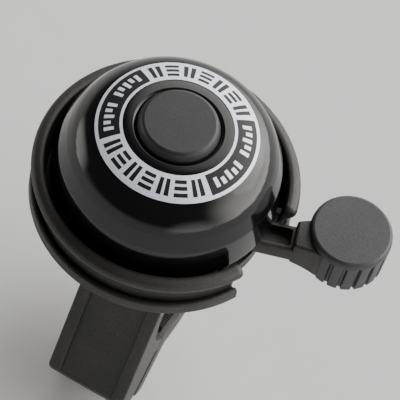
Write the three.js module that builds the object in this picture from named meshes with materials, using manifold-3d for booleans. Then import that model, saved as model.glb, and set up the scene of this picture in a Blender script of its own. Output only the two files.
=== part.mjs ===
// A small handlebar bell: a glossy steel dome on a moulded base, rung by a thumb
// lever that swings in a gap in the base's rim, and held on the bar by a hinged clamp.
//
// Millimetres. The origin is on the handlebar's axis, under the middle of the dome.
// +X runs along the handlebar towards the lever and +Z up the dome's axis.

import * as THREE from 'three';
import { mergeVertices } from 'three/addons/utils/BufferGeometryUtils.js';
import Module from 'manifold-3d';

const wasm = await Module();
wasm.setup();

// ---- driving dimensions -------------------------------------------------------

const GAP = 0.3;                   // between pieces that rest on or clear each other
const CLOSE = 0.1;                 // between faces that only slide or just touch

const BAR_R = 11.1;                // 22.2 mm handlebar
const PAD_T = 1.2;                 // rubber pad in each clamp half
const CLAMP_IN_R = BAR_R + PAD_T;
const CLAMP_OUT_R = 15;
const CLAMP_W = 14;                // along the bar
const CLAMP_X = 2.2;               // the clamp's middle, towards the lever from the dome's
const SPLIT_DEG = 50;              // the clamp's two halves meet on this line
const HINGE_R = 17.2;              // hinge pin, from the bar's axis
const KNUCKLE_R = 2.4;
const HINGE_PIN_R = 1;
const SCREW_R_POS = 19.8;          // clamp screw, from the bar's axis
const EAR_END_R = 24.4;
const EAR_T = 3.2;
const LEG_DEPTH = 7;               // upper ear's end, from the split line
const EAR_SPLIT = 1.5;             // open gap between the two ears
const SCREW_R = 1.7;
const NUT_W = 7;
const NUT_T = 3.2;
const NUT_FLOOR = 1.6;             // plastic between the nut and the split

const BASE_Z = 16;                 // underside of the round plate, above the bar's axis
const PLATE_R = 21;
const PLATE_T = 1.9;
const PLATE_LIP_Z = 2.5;
const HOUSING_FLOOR_TOP = 2.8;
const FLOOR_R = 17.6;
const RIM_TOP_Z = 9.1;
const MOUTH_FROM_DEG = -26;        // gap in the rim that the lever swings in
const MOUTH_TO_DEG = 12;

const BOLT_R = 2;
const SLEEVE_R = 3.2;
const DOME_T = 0.9;                // sheet thickness
const DOME_LIP_Z = 6.9;
const DOME_LIP_R = 18.25;
const DOME_TOP_Z = 21.3;
const RECESS_R = 7;                // dimple in the dome's crown that the cap sits in
const RECESS_Z = 18.6;

const PIVOT = new THREE.Vector2(8, -3);
const KNOB = new THREE.Vector2(29.6, 6.7);
const LEVER_PIN_R = 1.5;
const HUB_R = 3.5;
const ARM_DEG = 19;                // direction of the arm from its pivot
const ARM_W = 4.7;
const ARM_LOW = 3.1;
const ARM_TOP = 6.3;
const HUB_TOP = 8;
const CHANNEL_FROM = 4.9;          // a channel in the arm's top, from the pivot
const CHANNEL_TO = 14.7;
const CHANNEL_W = 3.1;
const CHANNEL_LOW = 4.7;
const SWEEP_FROM = 14;             // the neck's underside curves down between these
const SWEEP_TO = 20;
const NECK_LOW = 1.4;
const NECK_TOP = 7.9;
const KNOB_R = 6.6;
const KNOB_LOW = 1;
const KNOB_TOP = 9.1;
const FLUTES = 18;

const HAMMER_DEG = 115.5;          // direction of the hammer from the lever's pivot
const LUG_FROM = 3.7;
const LUG_TO = 7.4;
const LUG_T = 2.2;
const LEAF_T = 0.5;
const LEAF_LOW = 6.9;
const LEAF_TOP = 10.1;
const STRIKER_AT = 14.4;           // along the leaf, from the pivot
const STRIKER_R = 1.8;

const COIL_R = 2.85;
const WIRE_R = 0.3;
const COIL_LOW = 8.45;
const COIL_TOP = 10.75;

// ---- materials ----------------------------------------------------------------

function finish(color, roughness, metalness) {
  return new THREE.MeshStandardMaterial({ color, roughness, metalness });
}

const mattePlastic = finish(0x1d1e20, 0.6, 0);
const glossPaint = finish(0x0c0c0e, 0.08, 0.2);
const satinPlastic = finish(0x252628, 0.45, 0);
const printedFoil = finish(0xd4d6db, 0.35, 0.6);
const zincSteel = finish(0xa9acb0, 0.35, 1);
const springSteel = finish(0x8a8c90, 0.3, 1);
const blackRubber = finish(0x17181a, 0.85, 0);
const nylon = finish(0xd9d6cc, 0.5, 0);

// ---- geometry helpers ---------------------------------------------------------

const FINE = 54;                   // facets round the large turned pieces
const COARSE = 20;                 // and round pins, washers and holes

const radians = THREE.MathUtils.degToRad;

function polar(radius, degrees, centreX = 0, centreY = 0) {
  const angle = radians(degrees);
  return new THREE.Vector2(centreX + radius * Math.cos(angle), centreY + radius * Math.sin(angle));
}

function arcPoints(radius, fromDeg, toDeg, steps, centreX = 0, centreY = 0) {
  const points = [];
  for (let i = 0; i <= steps; i += 1) {
    points.push(polar(radius, fromDeg + (toDeg - fromDeg) * i / steps, centreX, centreY));
  }
  return points;
}

// Turns a closed (radius, height) outline about Z.
function revolve(outline, segments = FINE) {
  const loop = outline.map(([r, z]) => new THREE.Vector2(r, z));
  if (THREE.ShapeUtils.area(loop) < 0) loop.reverse();
  loop.push(loop[0].clone());
  const geometry = new THREE.LatheGeometry(loop, segments);
  geometry.rotateX(Math.PI / 2);
  return geometry;
}

function ring(outerR, innerR, low, top, segments = COARSE) {
  return revolve([[innerR, low], [outerR, low], [outerR, top], [innerR, top]], segments);
}

function disc(radius, low, top, segments = COARSE) {
  const geometry = new THREE.CylinderGeometry(radius, radius, top - low, segments);
  geometry.rotateX(Math.PI / 2);
  geometry.translate(0, 0, (low + top) / 2);
  return geometry;
}

function box(width, depth, low, top) {
  const geometry = new THREE.BoxGeometry(width, depth, top - low);
  geometry.translate(0, 0, (low + top) / 2);
  return geometry;
}

// A plan outline raised from low to top.
function raise(points, low, top) {
  const options = { depth: top - low, bevelEnabled: false };
  const geometry = new THREE.ExtrudeGeometry(new THREE.Shape(points), options);
  geometry.translate(0, 0, low);
  return geometry;
}

// A side outline in (Y, Z) given a width along X about x = 0.
const alongX = new THREE.Matrix4().makeBasis(
  new THREE.Vector3(0, 1, 0),
  new THREE.Vector3(0, 0, 1),
  new THREE.Vector3(1, 0, 0),
);

function sideProfile(points, width, centreX = 0) {
  const geometry = raise(points, centreX - width / 2, centreX + width / 2);
  geometry.applyMatrix4(alongX);
  return geometry;
}

function solid(geometry) {
  const bare = geometry.clone();
  bare.deleteAttribute('normal');
  bare.deleteAttribute('uv');
  const merged = mergeVertices(bare);
  return new wasm.Manifold(new wasm.Mesh({
    numProp: 3,
    vertProperties: new Float32Array(merged.attributes.position.array),
    triVerts: new Uint32Array(merged.index.array),
  }));
}

function fromSolid(body) {
  const mesh = body.getMesh();
  const geometry = new THREE.BufferGeometry();
  geometry.setAttribute('position', new THREE.Float32BufferAttribute(mesh.vertProperties, 3));
  geometry.setIndex(new THREE.Uint32BufferAttribute(mesh.triVerts, 1));
  return geometry;
}

// Joins the first list of geometries, then cuts the second list out.
function carve(joined, cuts = []) {
  let body = solid(joined[0]);
  for (const piece of joined.slice(1)) body = body.add(solid(piece));
  for (const piece of cuts) body = body.subtract(solid(piece));
  return fromSolid(body);
}

function moved(geometry, x, y, z = 0) {
  geometry.translate(x, y, z);
  return geometry;
}

function turned(geometry, degrees) {
  geometry.rotateZ(radians(degrees));
  return geometry;
}

// ---- the assembly -------------------------------------------------------------

const bell = new THREE.Group();
const onBar = new THREE.Group();          // heights from the handlebar's axis
onBar.position.x = CLAMP_X;
const onBase = new THREE.Group();         // heights from the plate's underside
onBase.position.z = BASE_Z;
const onPivot = new THREE.Group();        // plan position from the lever's pivot
onPivot.position.set(PIVOT.x, PIVOT.y, 0);
const onHammer = new THREE.Group();       // +X points out along the hammer's leaf
onHammer.rotation.z = radians(HAMMER_DEG);
onPivot.add(onHammer);
onBase.add(onPivot);
bell.add(onBar, onBase);

function add(group, name, geometry, material) {
  const mesh = new THREE.Mesh(geometry, material);
  mesh.name = name;
  group.add(mesh);
  return mesh;
}

// ---- clamp --------------------------------------------------------------------
// Around the bar, angles are taken in the (Y, Z) plane from +Y towards +Z. The
// upper half runs from the hinge over the top and down the near side to its ear.

const splitDir = polar(1, SPLIT_DEG);                   // from the bar's axis to the hinge
const splitNormal = polar(1, SPLIT_DEG - 90);           // from the upper half to the jaw
const hingeAt = polar(HINGE_R, SPLIT_DEG);

function onSplit(along, across) {
  return new THREE.Vector2(
    splitDir.x * along + splitNormal.x * across,
    splitDir.y * along + splitNormal.y * across,
  );
}

function halfRing(innerR, outerR, fromDeg, toDeg, width) {
  const steps = 20;
  const outline = arcPoints(outerR, fromDeg, toDeg, steps);
  outline.push(...arcPoints(innerR, toDeg, fromDeg, steps));
  return sideProfile(outline, width);
}

// The jaw's ear is a flat tab. The upper half's is a leg: its outside leaves the
// clamp's curve on a tangent and runs straight to the ear's end.
const EAR_ROOT_R = 13.2;
const EAR_CORNER = 1.2;

function jawEar() {
  const face = EAR_SPLIT / 2;
  const back = face + EAR_T;
  return sideProfile([
    onSplit(-EAR_ROOT_R, face),
    onSplit(-EAR_END_R, face),
    onSplit(-EAR_END_R, back - EAR_CORNER),
    onSplit(-EAR_END_R + EAR_CORNER, back),
    onSplit(-EAR_ROOT_R, back),
  ], CLAMP_W);
}

const legEnd = onSplit(-EAR_END_R, -LEG_DEPTH);
const legTangentDeg = THREE.MathUtils.radToDeg(
  legEnd.angle() - Math.acos(CLAMP_OUT_R / legEnd.length()),
);
const legOut = polar(1, legTangentDeg);
const legDown = polar(1, legTangentDeg + 90);

function onLeg(down, out) {
  return new THREE.Vector2(
    legOut.x * (CLAMP_OUT_R + out) + legDown.x * down,
    legOut.y * (CLAMP_OUT_R + out) + legDown.y * down,
  );
}

const legLength = legEnd.dot(legDown);
const LEG_RISE = 12.2;             // from the tangent up into the plate

function clampLeg() {
  return sideProfile([
    onSplit(-CLAMP_IN_R - 0.1, -EAR_SPLIT / 2),
    onSplit(-EAR_END_R, -EAR_SPLIT / 2),
    onSplit(-EAR_END_R, -LEG_DEPTH + 1),
    onLeg(legLength - 1, 0),
    onLeg(0, 0),
    polar(CLAMP_IN_R + 0.3, legTangentDeg),
    polar(CLAMP_IN_R + 0.2, legTangentDeg + 25),
    polar(CLAMP_IN_R + 0.2, legTangentDeg + 45),
  ], CLAMP_W);
}

// A round bar or hole along the clamp screw's axis, from one offset across the
// split to another.
function alongScrew(radius, from, to, segments = COARSE) {
  const geometry = new THREE.CylinderGeometry(radius, radius, to - from, segments);
  placeOnScrew(geometry, (from + to) / 2);
  return geometry;
}

function placeOnScrew(geometry, across) {
  const axis = new THREE.Vector3(0, splitNormal.x, splitNormal.y);
  const turn = new THREE.Quaternion().setFromUnitVectors(new THREE.Vector3(0, 1, 0), axis);
  const centre = onSplit(-SCREW_R_POS, across);
  geometry.applyQuaternion(turn);
  geometry.translate(0, centre.x, centre.y);
  return geometry;
}

// A slot from behind the clamp screw out through the ears' end.
function onScrewSlot(width, from, to) {
  const length = 12;
  const slot = new THREE.BoxGeometry(width, to - from, length);
  const axis = new THREE.Vector3(0, splitNormal.x, splitNormal.y);
  const turn = new THREE.Quaternion().setFromUnitVectors(new THREE.Vector3(0, 1, 0), axis);
  const centre = onSplit(-SCREW_R_POS + width / 2 - length / 2, (from + to) / 2);
  slot.applyQuaternion(turn);
  slot.translate(0, centre.x, centre.y);
  return slot;
}

function alongHinge(radius, fromX, toX, segments = COARSE) {
  const geometry = new THREE.CylinderGeometry(radius, radius, toX - fromX, segments);
  geometry.rotateZ(Math.PI / 2);
  geometry.translate((fromX + toX) / 2, hingeAt.x, hingeAt.y);
  return geometry;
}

const EAR_HOLE_R = 2.6;
const NUT_HOLE_R = 2.2;
const RIB_T = 0.6;                 // raised edges down the leg
const nutFace = -(EAR_SPLIT / 2 + NUT_FLOOR);
const nutCentre = nutFace - NUT_T / 2;
const screwTip = nutFace - NUT_T - 0.6;
const BOLT_HEAD_R = 3.6;
const BOLT_HEAD_T = 1.6;
const JAW_KNUCKLE_HALF = 2.6;
const housingScrewAt = [[-12.5, 6.5], [-12.5, -6.5], [10.5, -12]];
const HOUSING_SCREW_R = 1.1;
const HOUSING_SCREW_HEAD_R = 2;

function mouthWedge(innerR) {
  const outline = arcPoints(innerR, MOUTH_TO_DEG, MOUTH_FROM_DEG, 8);
  outline.push(polar(30, MOUTH_FROM_DEG), polar(30, MOUTH_TO_DEG));
  return raise(outline, -1, 12);
}

function clampBracket() {
  const plate = revolve([
    [0.5, 0], [PLATE_R - 0.4, 0], [PLATE_R, 0.5], [PLATE_R - 0.1, PLATE_LIP_Z - 0.2],
    [PLATE_R - 0.4, PLATE_LIP_Z], [PLATE_R - 0.9, PLATE_LIP_Z],
    [PLATE_R - 1, PLATE_T], [0.5, PLATE_T],
  ]);
  const openPlate = carve([plate], [mouthWedge(FLOOR_R)]);
  openPlate.translate(-CLAMP_X, 0, BASE_Z);

  const outline = [onLeg(-LEG_RISE, 0)];
  outline.push(...arcPoints(CLAMP_OUT_R, legTangentDeg, 180 + SPLIT_DEG, 12));
  outline.push(...arcPoints(CLAMP_IN_R, 180 + SPLIT_DEG, SPLIT_DEG, 28));
  outline.push(polar(CLAMP_OUT_R + 0.4, SPLIT_DEG), new THREE.Vector2(12.4, 14.2));
  outline.push(new THREE.Vector2(12.8, BASE_Z + 0.5));
  const saddle = sideProfile(outline, CLAMP_W);

  const knuckles = alongHinge(KNUCKLE_R, -CLAMP_W / 2, CLAMP_W / 2);
  const jawRoom = alongHinge(KNUCKLE_R + 0.35, -JAW_KNUCKLE_HALF - GAP, JAW_KNUCKLE_HALF + GAP);
  const jawPath = sideProfile([
    onSplit(HINGE_R - 4.6, -0.2), onSplit(HINGE_R + 3, -0.2),
    onSplit(HINGE_R + 3, 4), onSplit(HINGE_R - 4.6, 4),
  ], JAW_KNUCKLE_HALF * 2 + 2 * GAP);
  const pinHole = alongHinge(HINGE_PIN_R + 0.05, -CLAMP_W, CLAMP_W);

  const screwHole = alongScrew(EAR_HOLE_R, screwTip - 0.3, 0);
  // The nut slides in from the leg's end, along a slot that the screw hole opens into.
  const nutRoom = onScrewSlot(NUT_W + 0.4, nutFace - NUT_T - 0.1, nutFace + 0.1);
  const screwSlot = onScrewSlot(EAR_HOLE_R * 2, nutFace - 1, 1);

  const ribW = 2.2;
  const ribs = [-1, 1].map((end) => sideProfile([
    onLeg(-LEG_RISE, -0.6), onLeg(legLength - 1.6, -0.6), onLeg(legLength - 1.2, 0.3),
    onLeg(legLength - 2, RIB_T), onLeg(-LEG_RISE, RIB_T),
  ], ribW, end * (CLAMP_W - ribW) / 2));

  const bolt = moved(disc(BOLT_R + CLOSE, CLAMP_IN_R - 2, BASE_Z + 4), -CLAMP_X, 0);
  const boltHead = moved(
    disc(BOLT_HEAD_R + CLOSE, CLAMP_IN_R - 3, CLAMP_IN_R + BOLT_HEAD_T), -CLAMP_X, 0,
  );
  const cuts = [jawRoom, jawPath, pinHole, screwHole, nutRoom, screwSlot, bolt, boltHead];
  for (const [x, y] of housingScrewAt) {
    cuts.push(moved(disc(HOUSING_SCREW_R + CLOSE, -1, 3), x - CLAMP_X, y, BASE_Z));
    cuts.push(moved(disc(HOUSING_SCREW_HEAD_R + CLOSE, -1, 0.9), x - CLAMP_X, y, BASE_Z));
  }
  return carve([openPlate, saddle, knuckles, clampLeg(), ...ribs], cuts);
}

function clampJaw() {
  const band = halfRing(CLAMP_IN_R, CLAMP_OUT_R, SPLIT_DEG - 180, SPLIT_DEG, CLAMP_W);
  const knuckle = alongHinge(KNUCKLE_R, -JAW_KNUCKLE_HALF, JAW_KNUCKLE_HALF);
  const web = sideProfile([
    onSplit(CLAMP_IN_R + 0.3, GAP), onSplit(HINGE_R, GAP), onSplit(HINGE_R, KNUCKLE_R),
    onSplit(CLAMP_OUT_R - 0.6, 6), onSplit(CLAMP_IN_R + 0.3, 6),
  ], JAW_KNUCKLE_HALF * 2);
  const splitFace = sideProfile([
    onSplit(-30, -4), onSplit(CLAMP_OUT_R + 0.35, -4),
    onSplit(CLAMP_OUT_R + 0.35, GAP / 2), onSplit(-30, GAP / 2),
  ], CLAMP_W + 2);
  const knuckleRoom = [-1, 1].map((end) => alongHinge(
    KNUCKLE_R + 0.35,
    end < 0 ? -CLAMP_W : JAW_KNUCKLE_HALF,
    end < 0 ? -JAW_KNUCKLE_HALF : CLAMP_W,
  ));
  const pinHole = alongHinge(HINGE_PIN_R + CLOSE, -CLAMP_W, CLAMP_W);
  const screwHole = alongScrew(SCREW_R + CLOSE, 0, 10);
  const halves = carve([band, jawEar(), web], [splitFace, ...knuckleRoom]);
  return carve([halves, knuckle], [pinHole, screwHole]);
}

add(onBar, 'clamp_bracket', clampBracket(), mattePlastic);
add(onBar, 'clamp_jaw', clampJaw(), mattePlastic);
add(onBar, 'jaw_hinge_pin', alongHinge(HINGE_PIN_R, -CLAMP_W / 2, CLAMP_W / 2, 16), zincSteel);

const PAD_W = 12;
const PAD_END = 5;                 // degrees short of the split at each end
const padR = CLAMP_IN_R - CLOSE;
const upperPad = halfRing(BAR_R, padR, SPLIT_DEG + PAD_END, SPLIT_DEG + 180 - PAD_END, PAD_W);
const lowerPad = halfRing(BAR_R, padR, SPLIT_DEG - 180 + PAD_END, SPLIT_DEG - PAD_END, PAD_W);
add(onBar, 'bar_pad_upper', upperPad, blackRubber);
add(onBar, 'bar_pad_lower', lowerPad, blackRubber);

// The screw goes up through the jaw's ear into a square nut held in the upper ear.
const WASHER_T = 0.8;
const HEAD_T = 2.4;
const earBack = EAR_SPLIT / 2 + EAR_T;
const headFrom = earBack + 0.05 + WASHER_T + 0.05;

function clampScrew() {
  const shank = alongScrew(SCREW_R, screwTip + 0.7, headFrom + 0.4);
  const point = new THREE.CylinderGeometry(SCREW_R, 1.1, 0.8, COARSE);
  placeOnScrew(point, screwTip + 0.4);
  const head = new THREE.CylinderGeometry(2.9, 3.5, HEAD_T, COARSE);
  placeOnScrew(head, headFrom + HEAD_T / 2);
  const slots = [[4.2, 0.9], [0.9, 4.2]].map(([x, z]) => {
    const slot = new THREE.BoxGeometry(x, 1.6, z);
    return placeOnScrew(slot, headFrom + HEAD_T - 0.2);
  });
  return carve([shank, point, head], slots);
}

function clampNut() {
  const block = new THREE.BoxGeometry(NUT_W, NUT_T - 0.1, NUT_W);
  placeOnScrew(block, nutCentre);
  return carve([block], [alongScrew(NUT_HOLE_R, -12, 0)]);
}

function clampWasher() {
  const from = earBack + 0.05;
  return carve([alongScrew(4.2, from, from + WASHER_T)], [alongScrew(SCREW_R + CLOSE, 0, 12)]);
}

add(onBar, 'clamp_nut', clampNut(), zincSteel);
add(onBar, 'clamp_washer', clampWasher(), zincSteel);
add(onBar, 'clamp_screw', clampScrew(), zincSteel);

// ---- base ---------------------------------------------------------------------
// A cup whose rim is open between MOUTH_FROM_DEG and MOUTH_TO_DEG. The rim flares
// to a rounded bead at the top and stands in the plate's lip with a shadow gap.

const BOSS_R = 2.3;
const BOSS_TOP = 6;
const BUMPER_AT = new THREE.Vector2(14.7, 3.75);
const BUMPER_R = 1.35;
const PEG_R = 0.7;

function baseHousing() {
  const floor = PLATE_T + 0.02;
  const cup = revolve([
    [BOLT_R + CLOSE, floor], [19.7, floor], [19.85, 5.6], [20.15, 6.35], [20.9, 6.8],
    [21.4, 7.95], [20.9, 8.85], [20, RIM_TOP_Z], [19.3, 9], [18.9, 6.6],
    [18.6, HOUSING_FLOOR_TOP], [BOLT_R + CLOSE, HOUSING_FLOOR_TOP],
  ]);
  const endWalls = [[MOUTH_TO_DEG + 3.4, 6.3], [MOUTH_FROM_DEG - 3.4, 6.3]].map(([at, top]) => {
    const wall = moved(box(2, 1.3, HOUSING_FLOOR_TOP - 0.4, top), 18.2, 0);
    return turned(wall, at);
  });
  const joined = [carve([cup], [mouthWedge(FLOOR_R)]), ...endWalls];
  const cuts = [];
  for (const [x, y] of housingScrewAt) {
    joined.push(moved(disc(BOSS_R, HOUSING_FLOOR_TOP - 0.4, BOSS_TOP), x, y));
    cuts.push(moved(disc(HOUSING_SCREW_R, 0, BOSS_TOP - 0.8, 16), x, y));
  }
  joined.push(moved(disc(PEG_R, HOUSING_FLOOR_TOP - 0.4, 6.1, 12), BUMPER_AT.x, BUMPER_AT.y));
  cuts.push(moved(disc(LEVER_PIN_R, 0, 6), PIVOT.x, PIVOT.y));
  return carve(joined, cuts);
}

function housingScrew() {
  const head = disc(HOUSING_SCREW_HEAD_R, 0.05, 0.85);
  const shank = disc(HOUSING_SCREW_R - 0.02, 0.6, BOSS_TOP - 1.2, 16);
  return carve([head, shank], [box(0.5, 3, -0.4, 0.35)]);
}

add(onBase, 'base_housing', baseHousing(), mattePlastic);
housingScrewAt.forEach(([x, y], index) => {
  add(onBase, `housing_screw_${index + 1}`, housingScrew(), zincSteel).position.set(x, y, 0);
});

const bumper = ring(BUMPER_R, PEG_R + 0.05, HOUSING_FLOOR_TOP + 0.05, 5.9);
add(onBase, 'stop_bumper', bumper, blackRubber).position.set(BUMPER_AT.x, BUMPER_AT.y, 0);

// ---- centre bolt and dome -----------------------------------------------------
// One long bolt, its head under the bar pad, holds bracket, housing and dome.

function hexagon(acrossFlats) {
  return arcPoints(acrossFlats / 2 / Math.cos(Math.PI / 6), 0, 300, 5);
}

const SLEEVE_TOP = 16.8;
const SEAT_T = 0.8;
const NUT_LOW = RECESS_Z + 0.72;

function centreBolt() {
  const headLow = CLAMP_IN_R + 0.05 - BASE_Z;
  const head = disc(BOLT_HEAD_R, headLow, headLow + BOLT_HEAD_T - 0.1);
  const socket = raise(hexagon(2.5), headLow - 1, headLow + 0.9);
  const shank = disc(BOLT_R, headLow + 1, DOME_TOP_Z + 0.35);
  return carve([head, shank], [socket]);
}

function dome() {
  const t = DOME_T;
  const outside = [
    [BOLT_R + CLOSE, RECESS_Z], [RECESS_R - 0.3, RECESS_Z], [RECESS_R, RECESS_Z + 0.3],
    [RECESS_R, DOME_TOP_Z - 0.25], [RECESS_R + 0.3, DOME_TOP_Z], [8.6, 21.1], [10.8, 20.5],
    [12.75, 19.65], [14.3, 18.7], [15.6, 17.3], [16.48, 15.75], [17.55, 13],
    [18.2, 7.6], [DOME_LIP_R, DOME_LIP_Z + 0.15],
  ];
  const inside = [
    [DOME_LIP_R - 0.2, DOME_LIP_Z], [17.4, DOME_LIP_Z], [16.6, 12.8],
    [15.4, 15.15], [14.6, 16.6], [13.55, 17.85], [12.3, 18.85], [10.45, 19.65],
    [RECESS_R + t, 20.3], [RECESS_R + t, RECESS_Z - t + 0.3],
    [RECESS_R + t - 0.3, RECESS_Z - t],
    [BOLT_R + CLOSE, RECESS_Z - t],
  ];
  return revolve([...outside, ...inside]);
}

// The printed ring lies on the crown, just clear of the paint.
function labelRing() {
  const lift = 0.04;
  const t = 0.16;
  return revolve([
    [8.62, 21.1 + lift], [10.8, 20.5 + lift], [12.72, 19.65 + lift + 0.02],
    [12.78, 19.65 + lift + t], [10.85, 20.5 + lift + t], [8.66, 21.1 + lift + t],
  ]);
}

function cap() {
  return revolve([
    [5.2, RECESS_Z + 0.1], [6.5, RECESS_Z + 0.1], [6.5, DOME_TOP_Z - 0.2],
    [6.62, DOME_TOP_Z - 0.1], [6.62, DOME_TOP_Z + 0.2], [6.35, DOME_TOP_Z + 0.32],
    [5.85, DOME_TOP_Z + 1.15], [5.5, DOME_TOP_Z + 1.4], [0, DOME_TOP_Z + 1.4],
    [0, DOME_TOP_Z + 0.75], [4.9, DOME_TOP_Z + 0.75], [5.2, DOME_TOP_Z + 0.4],
  ], 36);
}

const sleeve = ring(SLEEVE_R, BOLT_R + CLOSE, HOUSING_FLOOR_TOP + 0.02, SLEEVE_TOP);
const seat = ring(4.4, BOLT_R + CLOSE, SLEEVE_TOP + 0.05, SLEEVE_TOP + SEAT_T);
const domeWasher = ring(4.4, BOLT_R + CLOSE, RECESS_Z + 0.02, RECESS_Z + 0.62);
const domeNut = carve([raise(hexagon(7), NUT_LOW, NUT_LOW + 2.2)], [disc(BOLT_R + 0.05, 10, 30)]);
add(onBase, 'centre_bolt', centreBolt(), zincSteel);
add(onBase, 'post_sleeve', sleeve, zincSteel);
add(onBase, 'dome_seat', seat, nylon);
add(onBase, 'dome', dome(), glossPaint);
add(onBase, 'dome_washer', domeWasher, zincSteel);
add(onBase, 'dome_nut', domeNut, zincSteel);
add(onBase, 'cap', cap(), satinPlastic);
add(onBase, 'label_ring', labelRing(), printedFoil);

// ---- lever --------------------------------------------------------------------
// Positions here are from the lever's pivot. The arm leaves through the gap in the
// rim, then rises in a neck to the boss that the thumb knob is pressed on.

const BOSS_FIT_R = 4.9;
const knobAt = KNOB.clone().sub(PIVOT);
const armDir = polar(1, ARM_DEG);
const armSide = polar(1, ARM_DEG + 90);

function onArm(along, aside) {
  return new THREE.Vector2(
    armDir.x * along + armSide.x * aside,
    armDir.y * along + armSide.y * aside,
  );
}

function neckOutline(grow) {
  return [
    onArm(15.1 - grow, -ARM_W / 2 - grow),
    onArm(18.5, -ARM_W / 2 - 0.4 - grow),
    onArm(22, -ARM_W / 2 - 1 - grow),
    onArm(23.5, 2.1),
    onArm(20.5, 6 + grow),
    onArm(17.5, ARM_W / 2 + 0.9 + grow),
    onArm(15.1 - grow, ARM_W / 2 + grow),
  ];
}

// The neck's underside sweeps down from the arm to the bottom of the boss.
function underNeck() {
  const profile = [new THREE.Vector2(SWEEP_FROM, NECK_LOW - 1)];
  for (let i = 0; i <= 6; i += 1) {
    const share = i / 6;
    profile.push(new THREE.Vector2(
      SWEEP_FROM + (SWEEP_TO - SWEEP_FROM) * share,
      ARM_LOW - (ARM_LOW - NECK_LOW) * share * share,
    ));
  }
  profile.push(new THREE.Vector2(SWEEP_TO, NECK_LOW - 1));
  return turned(raise(profile, -10, 10).rotateX(Math.PI / 2), ARM_DEG);
}

function lever() {
  const hub = disc(HUB_R, ARM_LOW, HUB_TOP);
  const arm = raise([
    onArm(0, -ARM_W / 2), onArm(17, -ARM_W / 2), onArm(17, ARM_W / 2), onArm(0, ARM_W / 2),
  ], ARM_LOW, ARM_TOP);
  const neck = raise(neckOutline(0), NECK_LOW, NECK_TOP);
  const boss = moved(disc(BOSS_FIT_R, NECK_LOW, NECK_TOP, 40), knobAt.x, knobAt.y);
  const shapedNeck = carve([neck], [underNeck()]);
  const channel = raise([
    onArm(CHANNEL_FROM, -CHANNEL_W / 2), onArm(CHANNEL_TO, -CHANNEL_W / 2),
    onArm(CHANNEL_TO, CHANNEL_W / 2), onArm(CHANNEL_FROM, CHANNEL_W / 2),
  ], CHANNEL_LOW, ARM_TOP + 1);
  const lug = box(LUG_TO - LUG_FROM + 0.6, LUG_T, ARM_LOW, LEAF_TOP);
  moved(lug, (LUG_TO + LUG_FROM - 0.6) / 2, -LEAF_T / 2 - LUG_T / 2 - 0.03);
  turned(lug, HAMMER_DEG);
  const coilRoom = ring(LUG_FROM, LEVER_PIN_R, HUB_TOP, 14);
  const pinHole = disc(LEVER_PIN_R + 0.06, 0, 12);
  const rivetHoles = rivetAlong.map((along) => rivetBody(along, RIVET_R + 0.05, -3, 0));
  return carve([hub, arm, shapedNeck, boss, lug], [coilRoom, pinHole, channel, ...rivetHoles]);
}

const rivetAlong = [4.7, 6.6];
const rivetZ = LEAF_TOP - 0.7;
const RIVET_R = 0.4;
const RIVET_HEAD_T = 0.4;

// A rod across the leaf at a distance from the pivot, in lever coordinates.
function rivetBody(along, radius, fromAside, toAside) {
  const rod = new THREE.CylinderGeometry(radius, radius, toAside - fromAside, 12);
  rod.translate(along, (fromAside + toAside) / 2, rivetZ);
  return turned(rod, HAMMER_DEG);
}

function thumbKnob() {
  const body = revolve([
    [0, KNOB_LOW], [KNOB_R - 0.7, KNOB_LOW], [KNOB_R - 0.1, KNOB_LOW + 0.5],
    [KNOB_R, KNOB_TOP - 1.1], [KNOB_R - 0.1, KNOB_TOP - 0.45],
    [KNOB_R - 0.3, KNOB_TOP - 0.12], [KNOB_R - 0.6, KNOB_TOP], [0, KNOB_TOP],
  ], FLUTES * 2);
  const cuts = [disc(BOSS_FIT_R + CLOSE, 0, NECK_TOP + CLOSE, 40)];
  for (let i = 0; i < FLUTES; i += 1) {
    const slot = moved(box(1.2, 0.55, 0, KNOB_TOP - 1.5), KNOB_R + 0.2, 0);
    cuts.push(turned(slot, (i + 0.5) * 360 / FLUTES));
  }
  const neckRoom = raise(neckOutline(CLOSE), 0, NECK_TOP + CLOSE);
  neckRoom.translate(-knobAt.x, -knobAt.y, 0);
  return carve([body], [...cuts, neckRoom]);
}

add(onPivot, 'lever', lever(), mattePlastic);
add(onPivot, 'thumb_knob', thumbKnob(), satinPlastic).position.set(knobAt.x, knobAt.y, 0);

// ---- pivot pin, clip and return spring ----------------------------------------

const PIN_TOP = 12.9;
const PIN_WASHER_LOW = COIL_TOP + WIRE_R + 0.1;
const CLIP_LOW = PIN_WASHER_LOW + 0.6;
const CLIP_T = 0.5;

const pinR = LEVER_PIN_R - 0.02;
const pivotPin = revolve([
  [0, PLATE_T + 0.05], [pinR, PLATE_T + 0.05], [pinR, CLIP_LOW - 0.05],
  [1.05, CLIP_LOW - 0.05], [1.05, CLIP_LOW + CLIP_T + 0.05], [pinR, CLIP_LOW + CLIP_T + 0.05],
  [pinR, PIN_TOP - 0.3], [pinR - 0.33, PIN_TOP], [0, PIN_TOP],
], 24);

function retainingClip() {
  const plate = ring(3, 1.1, CLIP_LOW, CLIP_LOW + CLIP_T);
  const mouth = moved(box(4, 1.7, CLIP_LOW - 1, CLIP_LOW + 2), -2.4, 0);
  return carve([plate], [turned(mouth, 40)]);
}

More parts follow.
